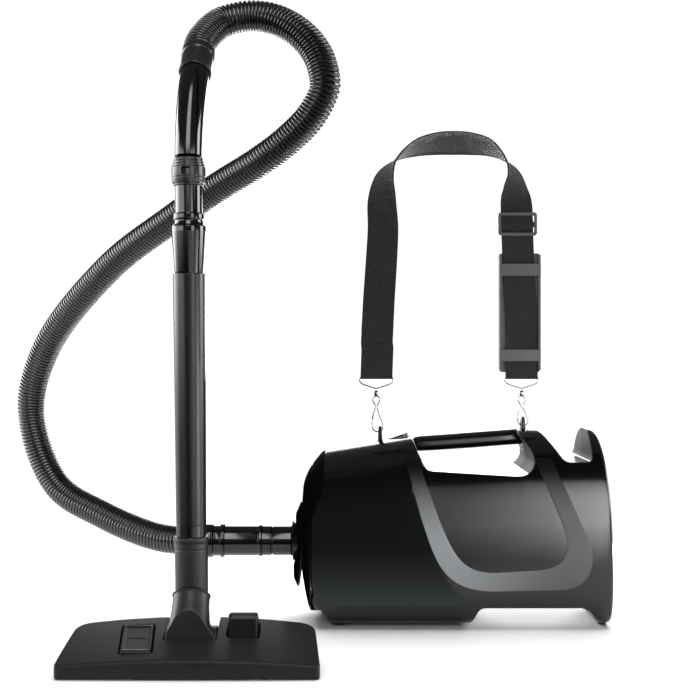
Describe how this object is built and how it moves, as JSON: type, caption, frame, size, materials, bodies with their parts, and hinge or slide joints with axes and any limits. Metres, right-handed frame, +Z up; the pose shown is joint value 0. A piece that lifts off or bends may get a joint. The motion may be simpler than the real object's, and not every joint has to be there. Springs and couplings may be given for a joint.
{
  "type": "portable canister vacuum cleaner",
  "caption": "Portable shoulder-strap canister vacuum with carry grip, ribbed hose, bent handle, straight wand, pedal floor tool and webbing strap with a sliding pad",
  "frame": {"origin": "on the floor, at the middle of the rubber base pad under the canister", "axes": "+Z up, +X from the inlet nose to the exhaust end of the canister, +Y away from the side where the wand stands"},
  "size_m": [0.7566, 0.4336, 0.7289],
  "materials": {
    "gloss_shell": "piano black, polished",
    "satin_band": "satin mid grey",
    "matte_black": "fine matte",
    "matte_grey": "charcoal, fine grain",
    "gloss_tube": "polished black",
    "hose": "closely ribbed, shiny",
    "rubber": "dull black",
    "screw_steel": "plain",
    "wire_nickel": "bright wire",
    "webbing": "ribbed woven webbing",
    "pad_rubber": "grey moulded",
    "slider": "grey, smooth",
    "paper_bag": "filter paper",
    "card": "plain card",
    "filter_blue": "filter fleece",
    "filter_white": "pleated fleece",
    "aluminium": "pressed",
    "copper_iron": "laminations and varnished windings",
    "motor_steel": "plain"
  },
  "bodies": {
    "canister": {"housing_near": "gloss_shell", "housing_far": "gloss_shell", "side_band_near": "satin_band", "side_band_far": "satin_band", "housing_screw_front": "screw_steel", "housing_screw_rear": "screw_steel", "foot_front": "rubber", "foot_rear": "rubber", "base_pad": "rubber", "handle_grip": "matte_black", "switch_bezel": "matte_grey", "strap_eyelet_front": "matte_grey", "strap_eyelet_rear": "matte_grey", "cord_gland": "rubber", "cover_seal": "rubber", "dust_bag": "paper_bag", "bag_collar": "card", "pre_motor_filter": "filter_blue", "motor_seal_front": "rubber", "motor_seal_rear": "rubber", "fan_shroud": "aluminium", "motor_frame": "motor_steel", "stator": "copper_iron", "bearing_front": "motor_steel", "bearing_rear": "motor_steel", "carbon_brush_near": "matte_black", "carbon_brush_far": "matte_black", "exhaust_filter": "filter_white", "exhaust_grille": "matte_black", "strap_webbing": "webbing", "strap_slider": "slider", "strap_ring_front": "wire_nickel", "strap_ring_rear": "wire_nickel", "snap_hook_front": "wire_nickel", "snap_hook_rear": "wire_nickel"},
    "switch_rocker": {"power_switch": "gloss_tube"},
    "motor_rotor": {"rotor": "copper_iron", "fan_impeller": "aluminium"},
    "cover": {"front_cover": "gloss_shell", "inlet_sleeve": "matte_black"},
    "latch": {"cover_latch": "gloss_tube"},
    "hose_set": {"hose_cuff_inlet": "gloss_tube", "hose": "hose", "hose_cuff_handle": "matte_black", "handle_tube": "gloss_tube", "handle_lower": "gloss_tube", "wand_tube": "matte_grey", "wand_collar": "matte_grey"},
    "bleed": {"bleed_ring": "matte_black"},
    "neck_joint": {"neck": "matte_grey", "neck_axle": "screw_steel"},
    "head": {"head_shell": "matte_grey", "sole_plate": "motor_steel"},
    "brushes": {"brush_frame": "matte_grey", "brush_front": "matte_black"},
    "left_pedal": {"pedal_left": "matte_black"},
    "right_pedal": {"pedal_right": "matte_black"},
    "pad": {"shoulder_pad": "pad_rubber"},
    "gate_front": {"hook_gate_front": "wire_nickel"},
    "gate_rear": {"hook_gate_rear": "wire_nickel"}
  },
  "joints": [
    {"name": "cover_pull", "type": "slide", "parent": "canister", "child": "cover", "axis": [-1, 0, 0], "range_m": [0, 0.06]},
    {"name": "latch_swing", "type": "hinge", "parent": "cover", "child": "latch", "pos_m": [-0.122, 0, 0.143], "axis": [0, 1, 0], "range_deg": [0, 10], "stiffness_Nm_per_rad": 0.2},
    {"name": "hose_unplug", "type": "slide", "parent": "cover", "child": "hose_set", "axis": [-1, 0, 0], "range_m": [0, 0.035]},
    {"name": "switch_rock", "type": "hinge", "parent": "canister", "child": "switch_rocker", "pos_m": [-0.0015, 0, 0.2225], "axis": [0, 1, 0], "range_deg": [0, 8]},
    {"name": "rotor_spin", "type": "hinge", "parent": "canister", "child": "motor_rotor", "pos_m": [0.13, 0, 0.103], "axis": [1, 0, 0], "continuous": true},
    {"name": "bleed_turn", "type": "hinge", "parent": "hose_set", "child": "bleed", "pos_m": [-0.23368, -0.257, 0.52], "axis": [-0.0079, 0, 1], "range_deg": [0, 60]},
    {"name": "neck_swivel", "type": "hinge", "parent": "hose_set", "child": "neck_joint", "pos_m": [-0.2292, -0.257, 0.0731], "axis": [0, 0.5299, 0.848], "range_deg": [-45, 45]},
    {"name": "head_tilt", "type": "hinge", "parent": "neck_joint", "child": "head", "pos_m": [-0.229, -0.266, 0.021], "axis": [1, 0, 0], "range_deg": [0, 55]},
    {"name": "pedal_right_press", "type": "hinge", "parent": "head", "child": "right_pedal", "pos_m": [-0.1743, -0.252, 0.036], "axis": [1, 0, 0], "range_deg": [0, 18]},
    {"name": "pedal_left_rise", "type": "hinge", "parent": "head", "child": "left_pedal", "pos_m": [-0.2845, -0.251, 0.038], "axis": [1, 0, 0], "range_deg": [-12, 0]},
    {"name": "brush_drop", "type": "slide", "parent": "head", "child": "brushes", "axis": [0, 0, -1], "range_m": [0, 0.0035]},
    {"name": "pad_slide", "type": "slide", "parent": "canister", "child": "pad", "axis": [0, 0, 1], "range_m": [0, 0.012]},
    {"name": "gate_front_open", "type": "hinge", "parent": "canister", "child": "gate_front", "pos_m": [-0.0308, 0, 0.263], "axis": [0, 1, 0], "range_deg": [-16, 0], "stiffness_Nm_per_rad": 0.01},
    {"name": "gate_rear_open", "type": "hinge", "parent": "canister", "child": "gate_rear", "pos_m": [0.1508, 0, 0.263], "axis": [0, 1, 0], "range_deg": [-16, 0], "stiffness_Nm_per_rad": 0.01}
  ],
  "couplings": [
    {"joint": "pedal_left_rise", "follows": "pedal_right_press", "ratio": -0.6667},
    {"joint": "brush_drop", "follows": "pedal_right_press", "m_per_rad": 0.01114}
  ]
}
